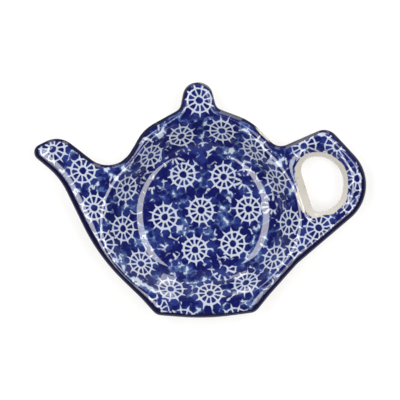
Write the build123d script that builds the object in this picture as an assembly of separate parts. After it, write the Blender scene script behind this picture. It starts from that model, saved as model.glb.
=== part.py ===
from build123d import *
import math
import os

os.makedirs("parts", exist_ok=True)

# Tea bag rest in the outline of a teapot: one stoneware casting under thin coats of glaze.
# Millimetres, foot on z = 0, +X towards the handle, +Y towards the lid knob. It is drawn about the axis of the pot
# and set down with the middle of its outline over the origin.

# Heights and thicknesses over the glaze
well_depth = 9.5
floor_thickness = 5.0
foot_recess = 1.4
flange_thickness = 6.0
glaze = 0.4

# Edges of the flange: roll over the top and the flats that it is cut in, bevel underneath, painted band
rim_roll = 2.2
roll_flat_count = 3
under_bevel = 0.6
band_width = 2.4

# Well in section
well_lip = 0.6
well_sweep = 14.0
wall_tilt = 40.0

# Well from above: its corners before rounding, each with its bend
well_belly_half = 47.5
well_belly_front = 3.0
well_belly_bend = 28.0
well_foot_half = 19.4
well_front = 34.0
well_foot_bend = 32.0
well_shoulder_half = 19.4
well_shoulder_back = 32.0
well_shoulder_bend = 38.0
well_back = 39.4
well_back_bend = 30.0
well_dent = 2.2

# Bowl underneath and its foot ring
bowl_neck = 0.8
bowl_fill = 1.2
foot_inset = 11.0
foot_rise = 0.9
foot_ring_width = 4.0
foot_bare = 0.8
recess_margin = 0.6

# Base of the pot, the edge nearest the user, and the flanks above it, measured out from the well
base_rim = 5.5
base_spread = 0.0
base_bow = 2.0
base_bow_bend = 90.0
base_corner = 4.5
flank_spread = 5.7
flank_rise = 1.2
flank_bend = 12.0

# Shoulders beside the lid knob, measured out from the shoulders of the well
shoulder_spread = 0.6
shoulder_rim = 3.5
shoulder_bend = 22.0
spout_shoulder_spread = 3.2
spout_shoulder_rim = 1.4
spout_shoulder_bend = 16.0

# Lid knob, measured from the back of the well
knob_offset = -0.8
knob_root_rim = 1.6
knob_height = 10.3
knob_half_width = 7.2
knob_top_half = 4.85
knob_bend = 5.7
knob_root_bend = 3.3

# Spout, lengths measured from the belly corner of the well
spout_length = 20.8
spout_lip_back = 26.4
spout_lip_bend = 3.3
spout_crown_length = 7.9
spout_crown_back = 32.3
spout_crown_bend = 9.0
spout_crook_inset = 13.8
spout_crook_back = 14.35
spout_crook_bend = 10.6
spout_throat_length = 8.3
spout_throat_back = 15.5
spout_throat_bend = 28.0
spout_belly_inset = 5.9
spout_belly_front = 15.9
spout_belly_bend = 75.0

# Handle, lengths measured from the belly corner of the well, its root from the flank of the well
handle_length = 24.2
handle_back = 7.6
handle_bend = 17.0
handle_peak_length = 2.3
handle_peak_back = 32.5
handle_peak_bend = 6.0
handle_root_rim = 4.3
handle_root_back = 24.4
handle_root_bend = 5.4
handle_foot_inset = 11.2
handle_foot_front = 20.9
handle_foot_bend = 22.0

# Handle window at its narrowest, its rim measured from the flank of the well
window_rim = 8.9
window_front = 0.5
window_width = 10.7
window_height = 21.0
window_lean = 6.0
window_flare = 2.0
window_sag = 0.2
window_crown = 0.4
window_round = 9.4
window_dome = 10.8
window_heel = 2.0
window_toe = 5.4
window_draft = 8.0
window_bevel = 0.6
window_margin = 2.2

# Levels that follow
floor_top = foot_recess + floor_thickness
rim_top = floor_top + well_depth
flange_under = rim_top - flange_thickness
side = well_belly_half
knob_root = well_back + knob_root_rim
window_back = window_height - window_front

# Room kept by the construction: least bend, share of a run or rim that roundings may use, cutter overshoot
least_bend = 0.3
run_share = 0.96
rim_share = 0.93
overshoot = 2.0
near = 0.001

# Share of a roll's reach that the casting's bevel under it has, so that the coat between them stays even
bevel_share = 2 - math.sqrt(2)


def flank(back):
    """How far out the straight flank of the well, from its belly to its shoulder, is at a distance back."""
    share = (back + well_belly_front) / (well_shoulder_back + well_belly_front)
    return side + share * (well_shoulder_half - side)


# Corners of the outlines, anticlockwise: x, y, bend
window_left = flank(window_back) + window_rim + window_lean
pot_outline = [
    (well_foot_half + base_spread, -well_front - base_rim, base_corner),
    (well_foot_half + flank_spread, flank_rise - well_front, flank_bend),
    (side - handle_foot_inset, -handle_foot_front, handle_foot_bend),
    (side + handle_length, handle_back, handle_bend),
    (side + handle_peak_length, handle_peak_back, handle_peak_bend),
    (flank(handle_root_back) + handle_root_rim, handle_root_back, handle_root_bend),
    (well_shoulder_half + shoulder_spread, well_shoulder_back + shoulder_rim, shoulder_bend),
    (knob_offset + knob_half_width, knob_root, knob_root_bend),
    (knob_offset + knob_top_half, knob_root + knob_height, knob_bend),
    (knob_offset - knob_top_half, knob_root + knob_height, knob_bend),
    (knob_offset - knob_half_width, knob_root, knob_root_bend),
    (-well_shoulder_half - spout_shoulder_spread, well_shoulder_back + spout_shoulder_rim, spout_shoulder_bend),
    (spout_crook_inset - side, spout_crook_back, spout_crook_bend),
    (-side - spout_crown_length, spout_crown_back, spout_crown_bend),
    (-side - spout_length, spout_lip_back, spout_lip_bend),
    (-side - spout_throat_length, spout_throat_back, spout_throat_bend),
    (spout_belly_inset - side, -spout_belly_front, spout_belly_bend),
    (-well_foot_half - flank_spread, flank_rise - well_front, flank_bend),
    (-well_foot_half - base_spread, -well_front - base_rim, base_corner),
    (0, -well_front - base_rim - base_bow, base_bow_bend),
]
well_outline = [
    (well_foot_half, -well_front, well_foot_bend),
    (side, -well_belly_front, well_belly_bend),
    (well_shoulder_half, well_shoulder_back, well_shoulder_bend),
    (0, well_back, well_back_bend),
    (-well_shoulder_half, well_shoulder_back - well_dent, well_shoulder_bend),
    (-side, -well_belly_front - well_dent, well_belly_bend),
    (-well_foot_half, -well_front, well_foot_bend),
]
window_outline = [
    (window_left, -window_front, window_heel),
    (window_left + window_width, -window_front - window_sag, window_round),
    (window_left + window_width + window_flare, window_back + window_crown, window_dome),
    (window_left - window_lean, window_back, window_toe),
]


def outline(corners, z, grow=0.0):
    """Closed wire through the corners at height z, moved out by grow, each corner rounded by its own radius."""
    count = len(corners)
    points = []
    turns = []
    bends = []
    for i in range(count):
        x0, y0, _ = corners[i - 1]
        x1, y1, bend = corners[i]
        x2, y2, _ = corners[(i + 1) % count]
        heading = math.atan2(y1 - y0, x1 - x0)
        turn = math.remainder(math.atan2(y2 - y1, x2 - x1) - heading, math.tau)
        outward = heading + turn / 2 - math.pi / 2
        reach = grow / math.cos(turn / 2)
        points.append(Vector(x1 + reach * math.cos(outward), y1 + reach * math.sin(outward), z))
        turns.append(turn)
        bends.append(max(bend + grow * math.copysign(1, turn), least_bend))
    tangents = [bends[i] * math.tan(abs(turns[i]) / 2) for i in range(count)]
    factors = [1.0] * count
    for i in range(count):
        run = (points[i] - points[i - 1]).length
        factor = run_share * run / (tangents[i] + tangents[i - 1])
        factors[i] = min(factors[i], factor)
        factors[i - 1] = min(factors[i - 1], factor)
    arcs = []
    for i in range(count):
        corner = points[i]
        back = (points[i - 1] - corner).normalized()
        ahead = (points[(i + 1) % count] - corner).normalized()
        bend = bends[i] * factors[i]
        tangent = tangents[i] * factors[i]
        middle = (back + ahead).normalized() * bend * (1 / math.cos(turns[i] / 2) - 1)
        arcs.append(ThreePointArc(corner + back * tangent, corner + middle, corner + ahead * tangent))
    edges = []
    for i in range(count):
        edges.append(arcs[i])
        edges.append(Line(arcs[i] @ 1, arcs[(i + 1) % count] @ 0))
    return Wire(edges)


def prism(corners, bottom, top, grow=0.0, draft=0.0):
    """Block on an outline, its sides leaning in by draft degrees on the way up, or out when it is negative."""
    return extrude(Face(outline(corners, bottom, grow)), amount=top - bottom, taper=draft)


def level_edges(solid, z):
    """Edges that lie flat at height z."""
    return solid.edges().filter_by_position(Axis.Z, z - near, z + near)


def level_faces(solid, z):
    """Flat faces at height z, the largest last."""
    flat = solid.faces().filter_by(Axis.Z).filter_by_position(Axis.Z, z - near, z + near)
    return flat.sort_by(SortBy.AREA)


def openings(solid, z):
    """Rims of the holes in the largest flat face at height z, the longest first."""
    rims = level_faces(solid, z)[-1].inner_wires()
    return [rim.edges() for rim in sorted(rims, key=lambda rim: -rim.length)]


def flange(skin, roll, flats):
    """Spout, knob, handle and rim as one plate, its top edge turned over in a number of flats."""
    foot_of_roll = rim_top - skin - roll
    plate = prism(pot_outline, flange_under + skin, foot_of_roll, -skin)
    for i in range(flats):
        start = math.pi / 2 * i / flats
        end = math.pi / 2 * (i + 1) / flats
        rise = roll * (math.sin(end) - math.sin(start))
        run = roll * (math.cos(start) - math.cos(end))
        bottom = foot_of_roll + roll * math.sin(start)
        inset = skin + roll * (1 - math.cos(start))
        plate += prism(pot_outline, bottom, bottom + rise, -inset, math.degrees(math.atan2(run, rise)))
    return plate


def bowl(skin):
    """Belly under the well, leaning in from the flange to the foot ring."""
    height = flange_under - foot_rise
    run = foot_inset - bowl_neck
    lean = math.degrees(math.atan2(run, height))
    inset = foot_inset + skin
    foot = prism(well_outline, 0, foot_rise + skin, -inset)
    return foot + prism(well_outline, foot_rise + skin, flange_under + under_bevel, -inset, -lean)


def well(skin):
    """Hollow for the tea bag: sloping wall and level floor, still without the sweep between them."""
    half_tilt = math.radians(wall_tilt / 2)
    grow = skin * math.tan(half_tilt) - well_depth / math.tan(2 * half_tilt)
    return prism(well_outline, floor_top - skin, rim_top - skin, grow, wall_tilt - 90)


def window(skin):
    """Opening through the handle, narrower underneath."""
    under = flange_under + skin
    throat = skin / math.cos(math.radians(window_draft))
    lower = prism(window_outline, under - overshoot, under, throat)
    return lower + prism(window_outline, under, rim_top + overshoot, throat, -window_draft)


def dish(skin, edge, hollow):
    """The rest cut back by skin millimetres from the surface of the glaze, from its plate and the hollow in it."""
    recess = prism(well_outline, 0, foot_recess, -foot_inset - foot_ring_width)
    return edge + bowl(skin) - hollow - window(skin) - recess


# The rim's narrowest place leaves room for the roll of its edge beside the lip of the well
narrowest = outline(pot_outline, 0).distance_to(outline(well_outline, 0))
edge_roll = min(rim_roll, rim_share * narrowest - well_lip)

# The casting, with a fettled bevel under the roll and under the sweep of the glaze
hollow = well(glaze)
sweep_reach = well_sweep * math.tan(math.radians(wall_tilt / 2))
hollow = chamfer(level_edges(hollow, floor_top - glaze), bevel_share * sweep_reach)
stoneware_body = dish(glaze, flange(glaze, bevel_share * edge_roll, 1), hollow)

# The dish over the glaze, which sweeps up from the floor and softens the edges of the casting
hollow = fillet(level_edges(well(0), floor_top), well_sweep)
glazed_dish = dish(0, flange(0, edge_roll, roll_flat_count), hollow)
glazed_dish = chamfer(openings(glazed_dish, rim_top)[0], well_lip)
glazed_dish = chamfer(openings(glazed_dish, rim_top)[1], window_bevel)
glazed_dish = chamfer(openings(glazed_dish, flange_under)[0], bowl_fill)
under_edge = level_faces(glazed_dish, flange_under)[-1].outer_wire().edges()
glazed_dish = chamfer(under_edge, under_bevel)

# The glaze is all that lies between the two, wiped off the foot
foot_wipe = prism(well_outline, 0, foot_bare, overshoot - foot_inset)
coat = glazed_dish - stoneware_body - foot_wipe

# The clear lining of the handle window takes its margin from the face and the back
window_zone = prism(window_outline, 0, rim_top + overshoot, window_margin)
window_glaze = coat & window_zone
coat = coat - window_zone

# Inside the painted band the coat is two sheets: the stamped face above, the clear back below
face_zone = prism(pot_outline, 0, rim_top + overshoot, -band_width)
sheets = (coat & face_zone).solids().sort_by(Axis.Z)
face_glaze = sheets[-1]
edge = coat - face_zone
turn_under = prism(pot_outline, 0, flange_under + under_bevel, overshoot)
rim_band = edge - turn_under
back_glaze = sheets[0] + (edge & turn_under)

# The ceiling of the hollow inside the foot ring has its own clear coat
foot_recess_glaze = prism(
    well_outline, foot_recess - glaze, foot_recess, -foot_inset - foot_ring_width - recess_margin
)

middle = glazed_dish.bounding_box().center()
home = Location((-middle.X, -middle.Y, 0))
export_step(home * stoneware_body, "parts/stoneware_body.step")
export_step(home * face_glaze, "parts/face_glaze.step")
export_step(home * rim_band, "parts/rim_band.step")
export_step(home * window_glaze, "parts/window_glaze.step")
export_step(home * back_glaze, "parts/back_glaze.step")
export_step(home * foot_recess_glaze, "parts/foot_recess_glaze.step")
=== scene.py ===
import math

import bpy
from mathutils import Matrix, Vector
from mathutils.bvhtree import BVHTree


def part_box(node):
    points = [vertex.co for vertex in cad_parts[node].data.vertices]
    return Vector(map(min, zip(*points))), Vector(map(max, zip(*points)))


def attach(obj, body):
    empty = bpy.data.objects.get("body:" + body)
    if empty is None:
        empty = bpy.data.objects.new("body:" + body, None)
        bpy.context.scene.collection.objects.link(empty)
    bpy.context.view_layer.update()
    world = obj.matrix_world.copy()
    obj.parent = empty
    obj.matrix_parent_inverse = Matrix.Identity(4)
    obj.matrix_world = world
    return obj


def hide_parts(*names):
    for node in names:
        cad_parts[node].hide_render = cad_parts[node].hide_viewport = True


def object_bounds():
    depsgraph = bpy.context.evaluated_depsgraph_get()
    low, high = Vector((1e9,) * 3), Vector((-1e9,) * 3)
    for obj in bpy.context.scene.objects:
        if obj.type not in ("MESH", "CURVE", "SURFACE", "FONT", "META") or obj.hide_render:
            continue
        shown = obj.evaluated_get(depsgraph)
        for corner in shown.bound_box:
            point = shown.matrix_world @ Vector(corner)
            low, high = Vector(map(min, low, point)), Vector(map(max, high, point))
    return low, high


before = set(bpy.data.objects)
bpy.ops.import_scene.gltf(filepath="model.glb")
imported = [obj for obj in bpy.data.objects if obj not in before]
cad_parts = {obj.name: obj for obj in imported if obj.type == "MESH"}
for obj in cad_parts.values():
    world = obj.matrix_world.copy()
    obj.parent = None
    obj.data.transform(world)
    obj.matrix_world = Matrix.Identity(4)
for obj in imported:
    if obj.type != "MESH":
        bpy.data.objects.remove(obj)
cad_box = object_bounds()

# The fired dish: one slip-cast stoneware form, dipped in glaze that melts in the kiln and rounds every edge.
# It is made once, from all the solids together, and each piece below is cut from this one skin, so that the
# coats meet without a step.
piece_names = ("stoneware_body", "face_glaze", "rim_band", "window_glaze", "back_glaze", "foot_recess_glaze")
merge_distance = 0.000002
skin_grain = 0.00042
bpy.ops.object.select_all(action="DESELECT")
for piece_name in piece_names:
    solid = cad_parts[piece_name]
    mould = bpy.data.objects.new("mould_" + piece_name, solid.data.copy())
    bpy.context.scene.collection.objects.link(mould)
    mould.data.materials.clear()
    mould.select_set(True)
    bpy.context.view_layer.objects.active = mould
bpy.ops.object.join()
dish = bpy.context.object
dish.name = "fired_dish"
bpy.ops.object.mode_set(mode="EDIT")
bpy.ops.mesh.select_all(action="SELECT")
bpy.ops.mesh.remove_doubles(threshold=merge_distance)
bpy.ops.object.mode_set(mode="OBJECT")
bpy.ops.object.modifier_add(type="REMESH")
dish.modifiers[-1].mode = "VOXEL"
dish.modifiers[-1].voxel_size = skin_grain
bpy.ops.object.modifier_apply(modifier=dish.modifiers[-1].name)
melted = dish.data
ready = bpy.context.evaluated_depsgraph_get()
solid_skins = [BVHTree.FromObject(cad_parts[piece_name], ready) for piece_name in piece_names]
zones = melted.attributes.new("zone", "INT", "FACE")
for face in melted.polygons:
    distances = [skin.find_nearest(face.center)[3] for skin in solid_skins]
    zones.data[face.index].value = distances.index(min(distances))

# The form that the kiln leaves: a round floor and a soft crest in the well, a crowned rim that rolls over its
# outer edge, and a rounded lip round the handle window. Each point of the skin is moved there from its place
# on the solids, and the skin is then smoothed.
top_level = cad_box[1][2]
wall_coat = 0.0004
top_facing = 0.2
under_facing = -0.5

floor_slack = 0.0003
floor_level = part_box("face_glaze")[0][2] + wall_coat
lip_level = top_level - 0.0012
well_heart = Vector((0.0006, -0.0059, floor_level + floor_slack))
heart_size = 0.0001
well_reach = 0.038
floor_reach = 0.0249
front_flat = 0.0042
front_corner = 8

crest_level = floor_level + 0.0010
crest_start = 0.020
crest_reach = 0.0068
crest_width = 0.0030
crest_shift = 0.0012

edge_level = 0.0120
edge_foot = edge_level - 0.001
roll = 0.0017
upper_roll = 0.0008
crown_width = 0.0036
crown_bend = 0.0050
crown_slope = 0.34
tight_crown_width = 0.0026
tight_crown_bend = 0.0030
handle_start = 0.036
handle_run = 0.010
knob_start = 0.030
knob_run = 0.006

window_level = 0.0125
window_crown_width = 0.0037
window_crown_bend = 0.0024
window_crown_slope = 0.60

inner_facing = 0.25
inner_inset = 0.0016
tight_inner_inset = 0.0012
inner_gap = 0.0030
smoothing = 0.5
melt_passes = 14
crest_passes = 46


def upright_walls(node_name, steepness):
    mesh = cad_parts[node_name].data
    walls = [tuple(face.vertices) for face in mesh.polygons if abs(face.normal.z) < steepness]
    return BVHTree.FromPolygons([vertex.co for vertex in mesh.vertices], walls)


def skin_of(mesh):
    faces = [tuple(face.vertices) for face in mesh.polygons]
    return BVHTree.FromPolygons([vertex.co for vertex in mesh.vertices], faces)


def from_wall(walls, spot, level):
    return walls.find_nearest(Vector((spot.x, spot.y, level)))


def share(*amounts):
    return min(1, max(0, *amounts))


def crown_drop(inset, width, bend, slope):
    bent = min(width - inset, slope * bend)
    return bent ** 2 / (2 * bend) + slope * (width - inset - bent)


def melt(passes, group=""):
    bpy.ops.object.modifier_add(type="SMOOTH")
    dish.modifiers[-1].factor = smoothing
    dish.modifiers[-1].iterations = passes
    dish.modifiers[-1].vertex_group = group
    bpy.ops.object.modifier_apply(modifier=dish.modifiers[-1].name)


edge_walls = upright_walls("rim_band", steepness=0.1)
window_walls = upright_walls("window_glaze", steepness=0.3)
bare_skin = skin_of(melted)
inner_skin = "inner_skin"
inner_points = dish.vertex_groups.new(name=inner_skin)
shaped = []
for vertex in melted.vertices:
    spot = vertex.co.copy()
    on_top = vertex.normal.z > top_facing
    above = vertex.normal.z > under_facing
    outward = Vector((spot.x - well_heart.x, spot.y - well_heart.y, 0))
    in_well = heart_size < outward.length < well_reach and floor_level - floor_slack < spot.z < lip_level
    if on_top and in_well:
        reach = bare_skin.ray_cast(well_heart, outward)[3]
        rise = share((lip_level - spot.z) / (lip_level - well_heart.z))
        wanted = floor_reach - front_flat * max(0, -outward.y / outward.length) ** front_corner
        spot += outward.normalized() * (wanted - reach) * rise * share(outward.length / reach) ** 2
    if on_top and spot.z > crest_level and outward.length > crest_start:
        lip = bare_skin.ray_cast(Vector((well_heart.x, well_heart.y, lip_level)), outward)[3]
        if lip is not None:
            near = share((crest_reach - abs(outward.length - lip)) / (crest_reach - crest_width))
            near *= share(from_wall(edge_walls, spot, edge_level)[3] / crown_width)
            near *= share(from_wall(window_walls, spot, window_level)[3] / crest_width)
            spot.x -= crest_shift * near * abs(outward.x) / outward.length
    brushed, away, _, inset = from_wall(edge_walls, spot, edge_level)
    inset += wall_coat
    tight = share((spot.x - handle_start) / handle_run, (spot.y - knob_start) / knob_run)
    width = crown_width + (tight_crown_width - crown_width) * tight
    bend = crown_bend + (tight_crown_bend - crown_bend) * tight
    edge_roll = roll + upper_roll * max(0, math.copysign(abs(away.y), brushed.y - spot.y))
    if above and spot.z > edge_foot and inset < width:
        drop = crown_drop(inset, width, bend, crown_slope)
        if inset < edge_roll:
            drop += edge_roll - math.sqrt(edge_roll ** 2 - (edge_roll - inset) ** 2)
        spot.z = min(spot.z, top_level - drop)
    gap = from_wall(window_walls, spot, window_level)[3]
    if above and spot.z > window_level and gap < window_crown_width:
        fall = crown_drop(gap, window_crown_width, window_crown_bend, window_crown_slope)
        spot.z = min(spot.z, top_level - fall)
    clear_of_edges = inset > inner_inset + tight_inner_inset * tight and gap > inner_gap
    if vertex.normal.z > inner_facing and spot.z > floor_level - floor_slack and clear_of_edges:
        inner_points.add([vertex.index], 1, "REPLACE")
    shaped.append(spot)
for vertex, spot in zip(melted.vertices, shaped):
    vertex.co = spot
melt(melt_passes)
melt(crest_passes, inner_skin)
dish.vertex_groups.clear()
bpy.ops.object.shade_smooth()

# The painter's guides: how far each point lies from the outer edge, where the cobalt line is brushed, and
# from the handle window, which is wiped bare. The line is thin on the lid knob and at the back, front and
# right edges, and the margin is wide at the window's lower left. The brush skipped once, at the upper right
# of the body; on top of the lid knob a faint cream is laid over the line as a painted reflection.
millimetres = 1000
knob_line_start = 0.031
knob_thin = 1.1
back_thin = 1.3
front_thin = 0.95
front_focus = 8
right_thin = 0.5
right_focus = 4
wide_margin = 2.4
slim_margin = 0.35
wide_margin_top = 0.014
wide_margin_run = 0.012
touching = 0.00001
# Cream spots over the edge line: the first is where the brush skipped; the second, on top of the lid knob, is
# a painted reflection, a faint cream sheen that stands in for light off its rolled edge.
skips_and_knob_sheen = ((0.0262, 0.0262, 0.0052, 1.0), (0.0004, 0.0460, 0.0090, 0.28))
for guide in ("edge", "margin", "skip_and_knob_sheen"):
    melted.attributes.new(guide, "FLOAT", "POINT")
melted.attributes.new("facing", "FLOAT_VECTOR", "POINT")
edge = melted.attributes["edge"].data
margin = melted.attributes["margin"].data
skip_and_knob_sheen = melted.attributes["skip_and_knob_sheen"].data
facing = melted.attributes["facing"].data
for vertex in melted.vertices:
    spot = vertex.co
    brushed, away, _, inset = from_wall(edge_walls, spot, edge_level)
    back = math.copysign(abs(away.y), brushed.y - spot.y)
    right = math.copysign(abs(away.x), brushed.x - spot.x)
    knob = share((spot.y - knob_line_start) / knob_run)
    spared = knob_thin * knob * (1 - max(0, back)) + back_thin * max(0, back)
    spared += front_thin * max(0, -back) ** front_focus
    spared += right_thin * max(0, right) ** right_focus
    edge[vertex.index].value = millimetres * inset + spared
    wiped, _, _, gap = from_wall(window_walls, spot, window_level)
    left = max(0, wiped.x - spot.x) / max(gap, touching)
    low = share((wide_margin_top - spot.y) / wide_margin_run)
    margin[vertex.index].value = millimetres * gap - wide_margin * left * low + slim_margin * (1 - left)
    missed_and_knob_sheen = [bare_and_knob_sheen * (1 - math.hypot(spot.x - x, spot.y - y) / reach) for x, y, reach, bare_and_knob_sheen in skips_and_knob_sheen]
    skip_and_knob_sheen[vertex.index].value = max(0, *missed_and_knob_sheen)
    facing[vertex.index].vector = vertex.normal

# The stamped rosettes: each one pressed by hand with a small sponge, so they turn, fade and overlap freely.
# Each is given by its place in millimetres, how well the colour took, its spokes and its turn in degrees.
rosettes = (
    (0.4, 38.9, 0.7, 11, 10), (-7.1, 25.2, 0.85, 11, 40), (8.9, 26.9, 0.85, 12, 5),
    (-19.3, 17.9, 0.85, 11, 22), (21.2, 19.2, 0.85, 12, 15), (1.7, 17.9, 0.35, 11, 30),
    (-57.3, 21.4, 0.7, 11, 12), (-45.8, 12.7, 0.85, 11, 3), (-6.8, 10.2, 1.0, 12, 8),
    (9.2, 8.9, 1.0, 11, 26), (29.7, 6.7, 0.85, 11, 18), (17.7, 6.9, 0.4, 11, 0),
    (-29.3, 5.4, 0.85, 11, 33), (-19.3, 6.9, 0.35, 11, 9), (-41.8, -1.9, 0.85, 12, 14),
    (-14.6, -6.4, 1.0, 11, 28), (-0.1, -4.1, 1.0, 12, 20), (18.7, -4.1, 1.0, 11, 11),
    (34.2, -9.8, 0.85, 11, 7), (-31.0, -10.4, 0.85, 11, 24), (-2.9, -19.6, 1.0, 12, 2),
    (12.2, -17.6, 1.0, 11, 31), (-13.3, -19.1, 0.35, 11, 16), (-24.3, -24.4, 0.85, 12, 12),
    (28.0, -23.4, 0.85, 11, 21), (-12.8, -34.6, 0.85, 11, 6), (2.5, -36.6, 0.85, 11, 19),
    (16.7, -32.9, 0.85, 12, 29), (40.7, 19.9, 0.52, 11, 13), (53.7, 19.4, 0.48, 11, 4),
    (61.2, 6.7, 0.47, 11, 25), (57.2, -4.6, 0.47, 11, 17), (45.7, -12.1, 0.6, 11, 9),
    (-18.3, -42.6, 0.45, 11, 23), (-8.3, -47.2, 0.6, 11, 1), (12.2, -47.2, 0.6, 11, 8),
    (-39.3, -16.1, 0.6, 11, 27), (38.7, -20.1, 0.6, 11, 5), (8.1, -27.6, 0.4, 11, 15),
    (28.4, -3.2, 0.4, 11, 21), (-10.7, 17.9, 0.35, 11, 4),
)
press_from = 0.05
flat_press_level = 0.0145
flat_press_edge = 0.0036
upward = Vector((0, 0, 1))
melted_skin = skin_of(melted)
presses = []
for x, y, ink, spokes, turn in rosettes:
    aim = Vector((x / millimetres, y / millimetres, press_from))
    place, outward, _, _ = melted_skin.ray_cast(aim, -upward)
    over_edge = from_wall(edge_walls, aim, edge_level)[3] < flat_press_edge
    if place is None or over_edge:
        place, outward = Vector((aim.x, aim.y, flat_press_level)), upward
    along = Vector((math.cos(math.radians(turn)), math.sin(math.radians(turn)), 0))
    along = (along - outward * along.dot(outward)).normalized()
    presses.append((place, along, outward.cross(along), ink, spokes))
melted.uv_layers.new(name="stamp")
for mark in ("ink", "spokes"):
    melted.attributes.new(mark, "FLOAT", "FACE")
stamp_map = melted.uv_layers["stamp"].data
ink_taken = melted.attributes["ink"].data
spoke_count = melted.attributes["spokes"].data
for face in melted.polygons:
    nearest = min(presses, key=lambda press: (press[0] - face.center).length_squared)
    place, along, across, ink, spokes = nearest
    ink_taken[face.index].value = ink
    spoke_count[face.index].value = spokes
    for corner in face.loop_indices:
        offset = melted.vertices[melted.loops[corner].vertex_index].co - place
        stamp_map[corner].uv = (millimetres * offset.dot(along), millimetres * offset.dot(across))
melted.update()

# The face: rosettes stamped in cobalt over cream slip, with a watery wash and flecks between them, under a
# clear glossy glaze that melted onto the casting. Like every coat it is cut from the dish's skin along the
# borders of its own solid and thickened inward.
coat_depth = 0.00036
side_facing = 0.5


def coat_from_skin(node_name):
    bpy.ops.object.select_all(action="DESELECT")
    dish.select_set(True)
    bpy.context.view_layer.objects.active = dish
    bpy.ops.object.duplicate()
    coat = bpy.context.object
    coat.name = node_name + "_melted"
    own = piece_names.index(node_name)
    marks = [mark.value for mark in coat.data.attributes["zone"].data]
    for face, mark in zip(coat.data.polygons, marks):
        face.select = mark != own
    bpy.ops.object.mode_set(mode="EDIT")
    bpy.ops.mesh.select_mode(type="FACE")
    bpy.ops.mesh.delete(type="FACE")
    bpy.ops.object.mode_set(mode="OBJECT")
    bpy.ops.object.modifier_add(type="SOLIDIFY")
    coat.modifiers[-1].thickness = coat_depth
    coat.modifiers[-1].offset = -1
    bpy.ops.object.modifier_apply(modifier=coat.modifiers[-1].name)
    shade = [Vector()] * len(coat.data.loops)
    skin_facing = coat.data.attributes["facing"].data
    for face in coat.data.polygons:
        outward = face.normal.dot(skin_facing[face.vertices[0]].vector)
        for corner, point in zip(face.loop_indices, face.vertices):
            shade[corner] = face.normal.copy()
            if abs(outward) > side_facing:
                shade[corner] = skin_facing[point].vector * math.copysign(1, outward)
    coat.data.normals_split_custom_set(shade)
    coat.data.materials.clear()
    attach(coat, "root")
    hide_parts(node_name)
    return coat


cobalt = (0.0040, 0.0062, 0.103, 1)
mid_blue = (0.0213, 0.0363, 0.207, 1)
water_blue = (0.097, 0.169, 0.370, 1)
cream_line = (0.585, 0.635, 0.745, 1)
navy = (0.0060, 0.0064, 0.0440, 1)
pale_slip = (0.690, 0.655, 0.590, 1)
warm_slip = (0.640, 0.600, 0.530, 1)
iron_speck = (0.25, 0.16, 0.09, 1)
noise_middle = 0.5


def wire(tree, kind, inputs=None, **settings):
    node = tree.nodes.new(kind)
    for key, value in settings.items():
        setattr(node, key, value)
    for socket, value in (inputs or {}).items():
        if isinstance(value, bpy.types.NodeSocket):
            tree.links.new(value, node.inputs[socket])
        else:
            node.inputs[socket].default_value = value
    return node


def reckon(tree, operation, *terms):
    return wire(tree, "ShaderNodeMath", dict(enumerate(terms)), operation=operation).outputs[0]


def ramp(tree, value, low, high):
    limits = {"Value": value, "From Min": low, "From Max": high}
    return wire(tree, "ShaderNodeMapRange", limits, interpolation_type="SMOOTHSTEP").outputs[0]


def tint(tree, amount, under, over):
    colours = {0: amount, 6: under, 7: over}
    return wire(tree, "ShaderNodeMix", colours, data_type="RGBA").outputs[2]


def mottle(tree, place, scale, detail=2.0, roughness=0.5, output="Fac"):
    settings = {"Vector": place, "Scale": scale, "Detail": detail, "Roughness": roughness}
    return wire(tree, "ShaderNodeTexNoise", settings).outputs[output]


def dabs(tree, place, scale):
    settings = {"Vector": place, "Scale": scale}
    return wire(tree, "ShaderNodeTexVoronoi", settings, voronoi_dimensions="3D").outputs["Distance"]


def wander(tree, noise, reach):
    return reckon(tree, "MULTIPLY", reckon(tree, "SUBTRACT", noise, noise_middle), reach)


def distance(tree, across, along):
    squares = [reckon(tree, "MULTIPLY", side, side) for side in (across, along)]
    return reckon(tree, "SQRT", reckon(tree, "ADD", *squares))


def read(tree, name):
    return wire(tree, "ShaderNodeAttribute", attribute_name=name).outputs["Fac"]


def fresh_paint(name):
    paint = bpy.data.materials.new(name)
    paint.use_nodes = True
    place = wire(paint.node_tree, "ShaderNodeTexCoord").outputs["Object"]
    return paint, paint.node_tree, place


def slip(tree, place):
    drift_scale, drift_edge = 60, (0.35, 0.65)
    speck_scale, speck_edge, speck_strength = 900, (0.70, 0.76), 0.5
    drift = ramp(tree, mottle(tree, place, drift_scale, 3), *drift_edge)
    specks = ramp(tree, mottle(tree, place, speck_scale, 1), *speck_edge)
    shade = tint(tree, drift, pale_slip, warm_slip)
    return tint(tree, reckon(tree, "MULTIPLY", specks, speck_strength), shade, iron_speck)


def glaze_over(tree, place, shade, glaze_index):
    ripple_scale, ripple_strength, ripple_height = 130, 0.035, 0.0004
    roughest = 0.11
    finish = tree.nodes["Principled BSDF"]
    tree.links.new(shade, finish.inputs["Base Color"])
    ripple = mottle(tree, place, ripple_scale)
    tree.links.new(reckon(tree, "MULTIPLY", ripple, roughest), finish.inputs["Roughness"])
    finish.inputs["IOR"].default_value = glaze_index
    relief = {"Strength": ripple_strength, "Distance": ripple_height, "Height": ripple}
    tree.links.new(wire(tree, "ShaderNodeBump", relief).outputs[0], finish.inputs["Normal"])


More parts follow.
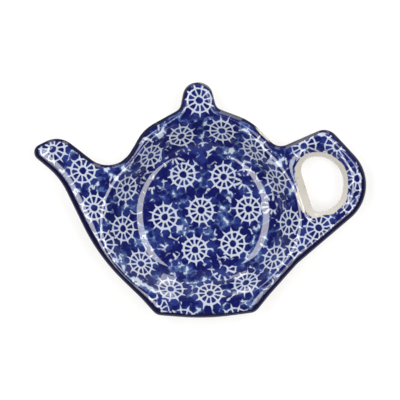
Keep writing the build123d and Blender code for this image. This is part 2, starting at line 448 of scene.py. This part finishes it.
def stamped_rosette(tree, place, stamp):
    hub_edge = (1.5, 1.22)
    faint_ink = (0.46, 0.40)
    faint_spoke, inked_spoke, faded_spoke = 0.16, 0.12, 0.16
    faint_petal, inked_petal, petal_round = (1.75, 4.70), (0.30, -0.45), 0.7
    wheel_reach, wheel_round = 4.95, 0.5
    spike_reach, spike_taper = 6.7, 0.26
    stamp_blur = (-0.1, 0.14)
    patch_scale, colour_took = 300, (-0.15, -0.02)
    lobe_ring, lobe_inside, lobe_edge = 5.75, 4.0, (1.25, 1.75)
    whole_turns, half_step = 40, 0.5
    flat = wire(tree, "ShaderNodeSeparateXYZ", {0: stamp})
    across, along = flat.outputs[0], flat.outputs[1]
    radius = distance(tree, across, along)
    spokes = read(tree, "spokes")
    ink = read(tree, "ink")
    faded = ramp(tree, ink, *faint_ink)
    spoke_half = reckon(tree, "MULTIPLY_ADD", ink, inked_spoke, faint_spoke)
    spoke_half = reckon(tree, "MULTIPLY_ADD", faded, faded_spoke, spoke_half)
    petal_start = reckon(tree, "MULTIPLY_ADD", ink, inked_petal[0], faint_petal[0])
    petal_end = reckon(tree, "MULTIPLY_ADD", ink, inked_petal[1], faint_petal[1])
    angle = reckon(tree, "DIVIDE", reckon(tree, "ARCTAN2", along, across), 2 * math.pi)
    steps = reckon(tree, "ADD", reckon(tree, "MULTIPLY", angle, spokes), whole_turns)
    swing = reckon(tree, "PINGPONG", steps, half_step)
    step_angle = reckon(tree, "DIVIDE", 2 * math.pi, spokes)
    aside = reckon(tree, "MULTIPLY", swing, reckon(tree, "MULTIPLY", radius, step_angle))
    petal = reckon(tree, "SUBTRACT", aside, spoke_half)
    petal = reckon(tree, "SMOOTH_MIN", petal, reckon(tree, "SUBTRACT", radius, petal_start), petal_round)
    petal = reckon(tree, "SMOOTH_MIN", petal, reckon(tree, "SUBTRACT", petal_end, radius), petal_round)
    spike = reckon(tree, "MULTIPLY", reckon(tree, "SUBTRACT", spike_reach, radius), spike_taper)
    spike = reckon(tree, "SUBTRACT", spike, aside)
    wheel = reckon(tree, "SMOOTH_MAX", reckon(tree, "SUBTRACT", wheel_reach, radius), spike, wheel_round)
    in_petal = ramp(tree, petal, *stamp_blur)
    in_hub = ramp(tree, radius, *hub_edge)
    line = reckon(tree, "SUBTRACT", 1, reckon(tree, "MAXIMUM", in_petal, in_hub))
    line = reckon(tree, "MULTIPLY", ramp(tree, wheel, *stamp_blur), line)
    taken = reckon(tree, "SUBTRACT", ink, mottle(tree, place, patch_scale))
    line = reckon(tree, "MULTIPLY", line, ramp(tree, taken, *colour_took))
    apart = reckon(tree, "MULTIPLY", reckon(tree, "SUBTRACT", half_step, swing), step_angle)
    apart = reckon(tree, "MULTIPLY", apart, radius)
    lobe = distance(tree, apart, reckon(tree, "SUBTRACT", radius, lobe_ring))
    lobe = reckon(tree, "MINIMUM", lobe, reckon(tree, "SUBTRACT", radius, lobe_inside))
    return line, ramp(tree, lobe, *lobe_edge)


def watery_ground(tree, place, dabbed, free):
    wash_scale, wash_detail, wash_roughness = 190, 3, 0.6
    blue_wash, thin_wash, fleck_edge = (0.42, 0.62), (0.45, 0.78), (0.72, 0.79)
    wash_share, wash_lift = 1.4, 0.14
    dab_scale, dab_share = 400, 0.75
    stroke_scale, stroke_ring, stroke_edge = 115, 0.46, (0.045, 0.022)
    worn_scale, worn_edge, stroke_strength = 300, (0.50, 0.56), 0.85
    wash = mottle(tree, place, wash_scale, wash_detail, wash_roughness)
    ground = tint(tree, ramp(tree, wash, *blue_wash), cobalt, mid_blue)
    thin = reckon(tree, "SUBTRACT", wash, noise_middle)
    thin = reckon(tree, "MULTIPLY_ADD", thin, wash_share, wash_lift)
    thin = reckon(tree, "MULTIPLY_ADD", dabs(tree, dabbed, dab_scale), dab_share, thin)
    watery = reckon(tree, "MULTIPLY", ramp(tree, thin, *thin_wash), free)
    ground = tint(tree, watery, ground, water_blue)
    fleck = reckon(tree, "MULTIPLY", ramp(tree, thin, *fleck_edge), free)
    ground = tint(tree, fleck, ground, cream_line)
    stroke = reckon(tree, "SUBTRACT", dabs(tree, dabbed, stroke_scale), stroke_ring)
    stroke = reckon(tree, "ABSOLUTE", stroke)
    worn = ramp(tree, mottle(tree, place, worn_scale), *worn_edge)
    stroke = reckon(tree, "MULTIPLY", ramp(tree, stroke, *stroke_edge), worn)
    stroke = reckon(tree, "MULTIPLY", reckon(tree, "MULTIPLY", stroke, free), stroke_strength)
    return tint(tree, stroke, ground, cream_line)


def painted_glaze(name, glaze_index):
    shake_scale, hand_shake, dab_shake = 520, 0.9, 0.0024
    brush_scale, brush_wander = 160, 1.6
    band_edge, bare_edge, skip_and_sheen_edge = (2.3, 1.8), (1.7, 1.3), (0.05, 0.4)
    wipe_scale, wipe_wander, margin_edge = 280, 1.9, (1.75, 1.45)
    paint, tree, place = fresh_paint(name)
    shake = {0: mottle(tree, place, shake_scale, output="Color"), 1: (noise_middle,) * 3}
    shake = wire(tree, "ShaderNodeVectorMath", shake, operation="SUBTRACT").outputs[0]
    shake = {0: shake, "Scale": hand_shake}
    shake = wire(tree, "ShaderNodeVectorMath", shake, operation="SCALE").outputs[0]
    stamp = wire(tree, "ShaderNodeUVMap", uv_map="stamp").outputs[0]
    stamp = wire(tree, "ShaderNodeVectorMath", {0: stamp, 1: shake}).outputs[0]
    drift = {0: shake, "Scale": dab_shake}
    drift = wire(tree, "ShaderNodeVectorMath", drift, operation="SCALE").outputs[0]
    dabbed = wire(tree, "ShaderNodeVectorMath", {0: place, 1: drift}).outputs[0]
    line, free = stamped_rosette(tree, place, stamp)
    shade = tint(tree, line, watery_ground(tree, place, dabbed, free), cream_line)
    brushed = wander(tree, mottle(tree, place, brush_scale, 3), brush_wander)
    brushed = reckon(tree, "ADD", read(tree, "edge"), brushed)
    shade = tint(tree, ramp(tree, brushed, *band_edge), shade, navy)
    # Cream over the edge line where the brush skipped, and a faint cream painted reflection on top of the
    # knob.
    bare_and_knob_sheen = ramp(tree, read(tree, "skip_and_knob_sheen"), *skip_and_sheen_edge)
    bare_and_knob_sheen = reckon(tree, "MULTIPLY", ramp(tree, brushed, *bare_edge), bare_and_knob_sheen)
    cream = slip(tree, place)
    shade = tint(tree, bare_and_knob_sheen, shade, cream)
    wiped = wander(tree, mottle(tree, place, wipe_scale), wipe_wander)
    wiped = reckon(tree, "ADD", read(tree, "margin"), wiped)
    shade = tint(tree, ramp(tree, wiped, *margin_edge), shade, cream)
    glaze_over(tree, place, shade, glaze_index)
    return paint


face_glaze = coat_from_skin("face_glaze")
face_glaze.data.materials.append(painted_glaze("stamped_cobalt_glaze", glaze_index=1.7))

# The edge band: one line of dark cobalt, brushed by hand round the rolled outer edge before the dip.
# It lies thick enough to run a little into the glaze over it, which is less bright here than on the face.
rim_band = coat_from_skin("rim_band")
rim_band.data.materials.append(painted_glaze("brushed_edge_glaze", glaze_index=1.42))

# The window lining: cream slip left bare round the opening of the handle, under the same clear glaze.
# Its margin is wiped by hand, so its border with the stamped face is ragged.
window_glaze = coat_from_skin("window_glaze")
window_glaze.data.materials.append(painted_glaze("window_margin_glaze", glaze_index=1.5))


# The back: clear glaze straight over the cream stoneware, with a few iron specks that show through it.
# It runs from the edge band down to the foot ring, where it is wiped off before the firing.
def clear_glaze(name):
    paint, tree, place = fresh_paint(name)
    glaze_over(tree, place, slip(tree, place), glaze_index=1.7)
    return paint


back_glaze = coat_from_skin("back_glaze")
back_glaze.data.materials.append(clear_glaze("clear_back_glaze"))

# The foot recess: the same clear glaze, pooled on the ceiling of the hollow inside the foot ring.
# The ring round it is wiped, so this coat stands apart from the one on the back.
foot_recess_glaze = coat_from_skin("foot_recess_glaze")
foot_recess_glaze.data.materials.append(clear_glaze("clear_recess_glaze"))

# The body: cream stoneware biscuit, slip cast in one piece, under all the coats and bare only on the foot.
# It is the fired dish itself, drawn in below its coats everywhere but on the foot ring, with fewer faces.
coat_bed = 0.0004
body_faces = 0.3
pale_biscuit = (0.62, 0.53, 0.41, 1)
dark_biscuit = (0.54, 0.44, 0.32, 1)
grog_speck = (0.20, 0.14, 0.09, 1)
grog_scale, grog_edge, grog_strength = 1600, (0.62, 0.72), 0.5
grog_relief, grog_height = 0.3, 0.0002
stain_scale, stain_edge = 90, (0.3, 0.7)
biscuit_roughness = 0.85
bpy.ops.object.select_all(action="DESELECT")
dish.select_set(True)
bpy.context.view_layer.objects.active = dish
stoneware_body = dish
stoneware_body.name = "stoneware_body_fired"
bare_zone = piece_names.index("stoneware_body")
zone_marks = melted.attributes["zone"].data
covered = set()
for face in melted.polygons:
    if zone_marks[face.index].value != bare_zone:
        covered.update(face.vertices)
skin_facing = melted.attributes["facing"].data
inward = {index: -skin_facing[index].vector for index in covered}
for index in covered:
    melted.vertices[index].co += inward[index] * coat_bed
bpy.ops.object.modifier_add(type="DECIMATE")
stoneware_body.modifiers[-1].ratio = body_faces
bpy.ops.object.modifier_apply(modifier=stoneware_body.modifiers[-1].name)
biscuit, tree, place = fresh_paint("bare_stoneware")
grog = mottle(tree, place, grog_scale, 3)
specks = reckon(tree, "MULTIPLY", ramp(tree, grog, *grog_edge), grog_strength)
stain = ramp(tree, mottle(tree, place, stain_scale), *stain_edge)
shade = tint(tree, stain, pale_biscuit, dark_biscuit)
shade = tint(tree, specks, shade, grog_speck)
finish = tree.nodes["Principled BSDF"]
tree.links.new(shade, finish.inputs["Base Color"])
finish.inputs["Roughness"].default_value = biscuit_roughness
relief = {"Strength": grog_relief, "Distance": grog_height, "Height": grog}
tree.links.new(wire(tree, "ShaderNodeBump", relief).outputs[0], finish.inputs["Normal"])
stoneware_body.data.materials.clear()
stoneware_body.data.materials.append(biscuit)
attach(stoneware_body, "root")
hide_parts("stoneware_body")

# The table that the dish stands on: a plain white matt sheet, larger than any view of it.
# It glows a little so that it stays pale, and still takes the dish's shadow.
table_size = 6
table_level = -0.0001
sheet_grey = (0.55, 0.55, 0.55, 1)
sheet_roughness = 0.9
sheet_glow = 0.5
white = (1, 1, 1, 1)
bpy.ops.mesh.primitive_plane_add(size=table_size, location=(0, 0, table_level))
table = bpy.context.object
table.name = "white_table"
sheet = bpy.data.materials.new("white_sheet")
sheet.use_nodes = True
sheet_finish = sheet.node_tree.nodes["Principled BSDF"]
sheet_finish.inputs["Base Color"].default_value = sheet_grey
sheet_finish.inputs["Roughness"].default_value = sheet_roughness
sheet_finish.inputs["Specular IOR Level"].default_value = 0
sheet_finish.inputs["Emission Color"].default_value = white
sheet_finish.inputs["Emission Strength"].default_value = sheet_glow
table.data.materials.append(sheet)

# Studio light: pale walls, brightest behind, under a dark ceiling with a pale screen at its front and back.
# Two long soft boxes hang overhead, left and right, and two low windows stand behind the dish.
ceiling_glow = 0.07
wall_glow, wall_top, wall_behind = 0.40, (0.5, 0.1), (-0.2, 0.6)
screen_glow, screen_start, screen_foot = 0.18, (0.40, 0.65), (0.45, 0.60)
room = bpy.data.worlds.new("white_walls_dark_ceiling")
room.use_nodes = True
tree = room.node_tree
around = wire(tree, "ShaderNodeTexCoord").outputs["Generated"]
walls = wire(tree, "ShaderNodeSeparateXYZ", {0: around})
back, height = walls.outputs[1], walls.outputs[2]
glow = reckon(tree, "MULTIPLY", ramp(tree, height, *wall_top), ramp(tree, back, *wall_behind))
glow = reckon(tree, "MULTIPLY_ADD", glow, wall_glow, ceiling_glow)
screens = ramp(tree, reckon(tree, "ABSOLUTE", back), *screen_start)
screens = reckon(tree, "MULTIPLY", screens, ramp(tree, height, *screen_foot))
glow = reckon(tree, "MULTIPLY_ADD", screens, screen_glow, glow)
backdrop = tree.nodes["Background"]
tree.links.new(glow, backdrop.inputs["Strength"])
backdrop.inputs["Color"].default_value = white
bpy.context.scene.world = room


def soft_box(name, place, lean, width, length, radiance):
    lamp = bpy.data.lights.new(name, "AREA")
    lamp.shape = "RECTANGLE"
    lamp.size = width
    lamp.size_y = length
    lamp.energy = radiance * math.pi * width * length
    box = bpy.data.objects.new(name, lamp)
    bpy.context.scene.collection.objects.link(box)
    box.location = place
    box.rotation_euler = lean


box_aside = 0.38
box_height = 1.0
box_width = 0.38
box_length = 0.9
box_radiance = 5.6
for name, side in (("left_soft_box", -1), ("right_soft_box", 1)):
    lean = (0, math.atan2(side * box_aside, box_height), 0)
    soft_box(name, (side * box_aside, 0, box_height), lean, box_width, box_length, box_radiance)

window_aside = 0.4
window_behind = 1.2
window_distance = 1.26
window_height = 0.4
window_width = 0.36
window_length = 0.60
window_radiance = 3.8
for name, side in (("back_left_window", -1), ("back_right_window", 1)):
    lean = (-math.atan2(window_distance, window_height), 0, -side * math.atan2(window_aside, window_behind))
    place = (side * window_aside, window_behind, window_height)
    soft_box(name, place, lean, window_width, window_length, window_radiance)

# The camera: a long lens that looks straight down on the dish, turned a little about its axis.
# Its square frame is as wide as view_width at the level of the rim.
view_width = 0.1566
lens = 180
sensor = 36
rim_level = 0.0135
camera_aside = -0.0004
camera_turn = -1.6
camera = bpy.data.objects.new("camera", bpy.data.cameras.new("camera"))
camera.data.lens = lens
camera.data.sensor_width = sensor
camera.location = (camera_aside, 0, rim_level + view_width * lens / sensor)
camera.rotation_euler = (0, 0, math.radians(camera_turn))
bpy.context.scene.collection.objects.link(camera)
bpy.context.scene.camera = camera
bpy.context.scene.view_settings.view_transform = "Standard"
